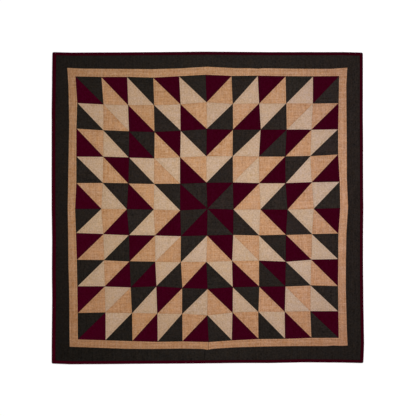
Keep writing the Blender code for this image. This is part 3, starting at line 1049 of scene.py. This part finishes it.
def cotton_material(name, cotton):
    """A plain weave whose threads vary both ways of the cloth."""
    material, nodes, shader = new_material(name)
    cloth = nodes.attribute("cloth")
    fleck = nodes.stretched_noise(cloth, *FLECK)
    variation = nodes.sum(
        nodes.times(nodes.stretched_noise(cloth, *SLUB, 1.0), cotton.slub[0]),
        nodes.times(nodes.stretched_noise(cloth, *reversed(SLUB), 1.0), cotton.slub[1]),
        nodes.times(nodes.both_ways(cloth, GRAIN), cotton.grain),
        nodes.times(fleck, cotton.fleck),
        nodes.times(nodes.stretched_noise(cloth, *CLOUD), cotton.cloud),
        # Painted shade: the colour is made darker in the ditch of a seam
        nodes.times(nodes.attribute("ditch", "Fac"), -cotton.ditch),
        0.5,
    )
    deep = [tone * (1 - spread) for tone, spread in zip(cotton.tone, cotton.spread)]
    pale = [tone * (1 + spread) for tone, spread in zip(cotton.tone, cotton.spread)]
    colour = nodes.mix(variation, deep, pale)
    hue_streaks = nodes.sum(nodes.both_ways(nodes.vector("ADD", cloth, HUE_SHIFT), HUE_STREAK), 0.5)
    hue = nodes.mix(hue_streaks, [1 - part for part in cotton.hue], [1 + part for part in cotton.hue])
    colour = nodes.vector("MULTIPLY", colour, hue)

    # The weave's own relief, the flecks that stand proud of it, and the puckers between the stitches
    turns = nodes.parts(nodes.vector("MULTIPLY", cloth, (2 * math.pi / THREAD_SPACING,) * 3))
    weave = nodes.times(nodes.of("SINE", turns[0]), nodes.of("SINE", turns[1]))
    quilting = nodes.parts(nodes.attribute("quilting"))
    phase = nodes.of("COSINE", nodes.times(quilting[0], 2 * math.pi))
    nearness = nodes.times(quilting[1], 1 / PUCKER_REACH)
    nearness = nodes.of("EXPONENT", nodes.times(nodes.times(nearness, nearness), -1.0))
    height = nodes.sum(
        nodes.times(weave, cotton.weave),
        nodes.times(fleck, FLECK_DEPTH),
        nodes.times(nodes.times(phase, nearness), -PUCKER_DEPTH),
    )
    # The shade attribute carries painted light and shade along with each piece's own tone
    nodes.give(shader, {
        "Base Color": nodes.vector("MULTIPLY", colour, nodes.attribute("shade")),
        "Normal": nodes.bump(height),
        "Roughness": nodes.sum(nodes.times(fleck, ROUGHNESS_SPREAD), ROUGHNESS),
        "Specular IOR Level": cotton.specular,
        "Specular Tint": (*cotton.gloss_tint, 1.0),
        "Sheen Weight": cotton.sheen,
        "Sheen Roughness": SHEEN_ROUGHNESS,
        "Sheen Tint": (*cotton.sheen_tint, 1.0),
    })
    return material


def thread_material():
    """Dark brown quilting thread, a little uneven, with its ply as a fine bump."""
    material, nodes, shader = new_material("quilting_thread")
    cloth = nodes.attribute("cloth")
    shade = nodes.stretched_noise(cloth, *THREAD_CLOUD)
    ply = nodes.stretched_noise(cloth, *THREAD_PLY, 1.0)
    nodes.give(shader, {
        "Base Color": nodes.mix(nodes.sum(shade, 0.5), *THREAD_TONES),
        "Normal": nodes.bump(nodes.times(ply, THREAD_PLY_DEPTH)),
        "Roughness": nodes.sum(nodes.times(shade, THREAD_ROUGHNESS_SPREAD), THREAD_ROUGHNESS),
        "Specular IOR Level": THREAD_SPECULAR,
    })
    return material


def relief_stations(line, reach):
    """The relief of the patches as stations of a strip, from one of its lines to this far inside it."""
    return [Station(line, relief.inset, relief.height) for relief in RINGS if relief.inset <= reach]


def lay_out_rings():
    """The two borders and the binding, with the section of each."""
    back = reversed(relief_stations("outer", INNER_BORDER_INSETS))
    inner_border = (*relief_stations("inner", INNER_BORDER_INSETS), INNER_BORDER_MIDDLE, *back)
    outer_border = (*relief_stations("inner", OUTER_BORDER_INSETS), OUTER_BORDER_MIDDLE, *OUTER_BORDER_RIM)
    return (
        Ring("inner_border", "peach", "peach", field_edge, border_seam, inner_border, ("inner", "outer")),
        Ring("outer_border", "charcoal", "charcoal", border_seam, binding_seam, outer_border, ("inner",)),
        Ring("binding", "burgundy", "binding", binding_seam, outline, BINDING_SECTION, ()),
    )


def build_quilt():
    cottons = {**COTTONS, "binding": BINDING_COTTON}
    materials = {name: cotton_material(f"{name}_cotton", cotton) for name, cotton in cottons.items()}
    patches, stitches = make_patches()
    for cotton, surface in patches.items():
        name = f"{cotton}_patches"
        add_piece(name, surface, materials[cotton], ("pieced_centre",))
    number = BLOCKS * BLOCKS * 2
    for ring in lay_out_rings():
        for side in SIDES:
            number += 1
            node = f"{ring.kind}_{side}"
            name = f"{ring.colour}_{node}"
            surface = strip_surface(ring, side, cottons[ring.cotton], number)
            add_piece(name, surface, materials[ring.cotton], (node,))
            stitches += [strip_stitches(ring, side, line) for line in ring.stitched]
    add_piece("quilting_thread", stitch_surface(stitches), thread_material(), ())
    backing = add_piece("backing", backing_surface(), materials["tan"], ())


def add_floor():
    """A white floor: a little light of its own keeps it as white as in the photo."""
    mesh = bpy.data.meshes.new("floor")
    corners = [(x * FLOOR_REACH, y * FLOOR_REACH) for x, y in ((-1, -1), (1, -1), (1, 1), (-1, 1))]
    mesh.from_pydata([(*corner, FLOOR_HEIGHT) for corner in corners], [], [(0, 1, 2, 3)])
    material, nodes, shader = new_material("pale_floor")
    cloud = nodes.sum(nodes.stretched_noise(nodes.place("Object"), *FLOOR_CLOUD), 0.5)
    nodes.give(shader, {
        "Base Color": nodes.mix(cloud, *((grey,) * 3 for grey in FLOOR_GREYS)),
        "Roughness": 1.0,
        "Specular IOR Level": 0.0,
        "Emission Color": (1.0, 1.0, 1.0, 1.0),
        "Emission Strength": FLOOR_GLOW,
    })
    material.cycles.emission_sampling = "NONE"
    mesh.materials.append(material)
    floor = bpy.data.objects.new("floor", mesh)
    bpy.context.scene.collection.objects.link(floor)


def add_lights():
    """A soft box above the quilt, a little to its upper right, in a white room that is dimmer overhead."""
    world = bpy.data.worlds.new("studio")
    world.use_nodes = True
    nodes = Nodes(world.node_tree)
    up = nodes.parts(nodes.place("Generated"))[2]
    dimming = {"Value": up, "From Max": DIM_FROM, "To Min": ROOM_HORIZON, "To Max": ROOM_OVERHEAD}
    brightness = nodes.add("ShaderNodeMapRange", {}, dimming).outputs[0]
    background = world.node_tree.nodes["Background"]
    nodes.give(background, {"Color": (1.0, 1.0, 1.0, 1.0), "Strength": brightness})
    bpy.context.scene.world = world

    lamp = bpy.data.lights.new("soft_box", "AREA")
    lamp.shape = "DISK"
    lamp.size = SOFT_BOX_SIZE
    lamp.energy = SOFT_BOX_POWER
    light = bpy.data.objects.new("soft_box", lamp)
    light.location = SOFT_BOX_PLACE
    light.visible_camera = False
    bpy.context.scene.collection.objects.link(light)


def add_camera():
    camera_data = bpy.data.cameras.new("camera")
    camera_data.lens = LENS
    camera_data.sensor_width = SENSOR
    camera_data.clip_end = CLIP_END
    camera = bpy.data.objects.new("camera", camera_data)
    distance = PICTURE_WIDTH / 2 / (SENSOR / 2 / LENS)
    camera.location = (*PICTURE_MIDDLE, distance + PICTURE_HEIGHT)
    bpy.context.scene.collection.objects.link(camera)
    bpy.context.scene.camera = camera


add_camera()
add_floor()
add_lights()
build_quilt()
bpy.context.scene.view_settings.view_transform = "Standard"
